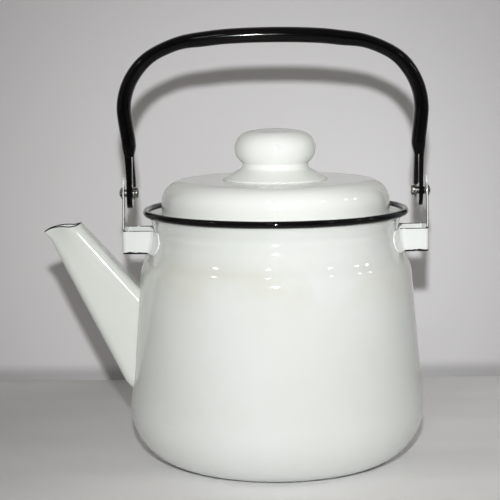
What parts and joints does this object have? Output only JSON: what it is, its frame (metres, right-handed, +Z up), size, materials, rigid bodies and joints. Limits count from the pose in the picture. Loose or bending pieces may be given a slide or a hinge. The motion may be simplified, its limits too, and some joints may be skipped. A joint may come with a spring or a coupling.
{
  "type": "tea kettle",
  "caption": "White enamelled tea kettle with a tapering spout, a lift-off lid with a hollow knob, and a swinging black tubular bail.",
  "frame": {"origin": "centre of the flat base, on the surface the kettle stands on", "axes": "+Z up through the lid's knob, -X towards the spout, the bail swings about the X direction"},
  "size_m": [0.2601, 0.2, 0.2936],
  "materials": {
    "white_enamel": "gloss vitreous enamel on pressed steel, slightly green-white",
    "lid_enamel": "gloss vitreous enamel on pressed steel, a little whiter than the body",
    "black_rim_enamel": "gloss black enamel on the rolled rim",
    "black_bail_enamel": "gloss black enamel on bent steel tube",
    "bright_steel": "bright steel, lightly worn"
  },
  "bodies": {
    "pot": {"body_shell": "white_enamel", "base_pan": "white_enamel", "rim_bead": "black_rim_enamel", "spout": "white_enamel", "bracket_far_side": "white_enamel", "bracket_spout_side": "white_enamel", "rivet_far_side": "bright_steel", "rivet_spout_side": "bright_steel", "rivet_washer_far_side": "bright_steel", "rivet_washer_spout_side": "bright_steel"},
    "bail": {"bail": "black_bail_enamel"},
    "lid": {"lid_shell": "lid_enamel", "lid_collar": "lid_enamel", "knob_skirt": "lid_enamel", "knob_cap": "lid_enamel"}
  },
  "joints": [
    {"name": "bail_swing", "type": "hinge", "parent": "pot", "child": "bail", "pos_m": [0, 0, 0.1837], "axis": [1, 0, 0], "range_deg": [-112, 112]},
    {"name": "lid_lift", "type": "slide", "parent": "pot", "child": "lid", "axis": [0, 0, 1], "range_m": [0, 0.05]}
  ]
}
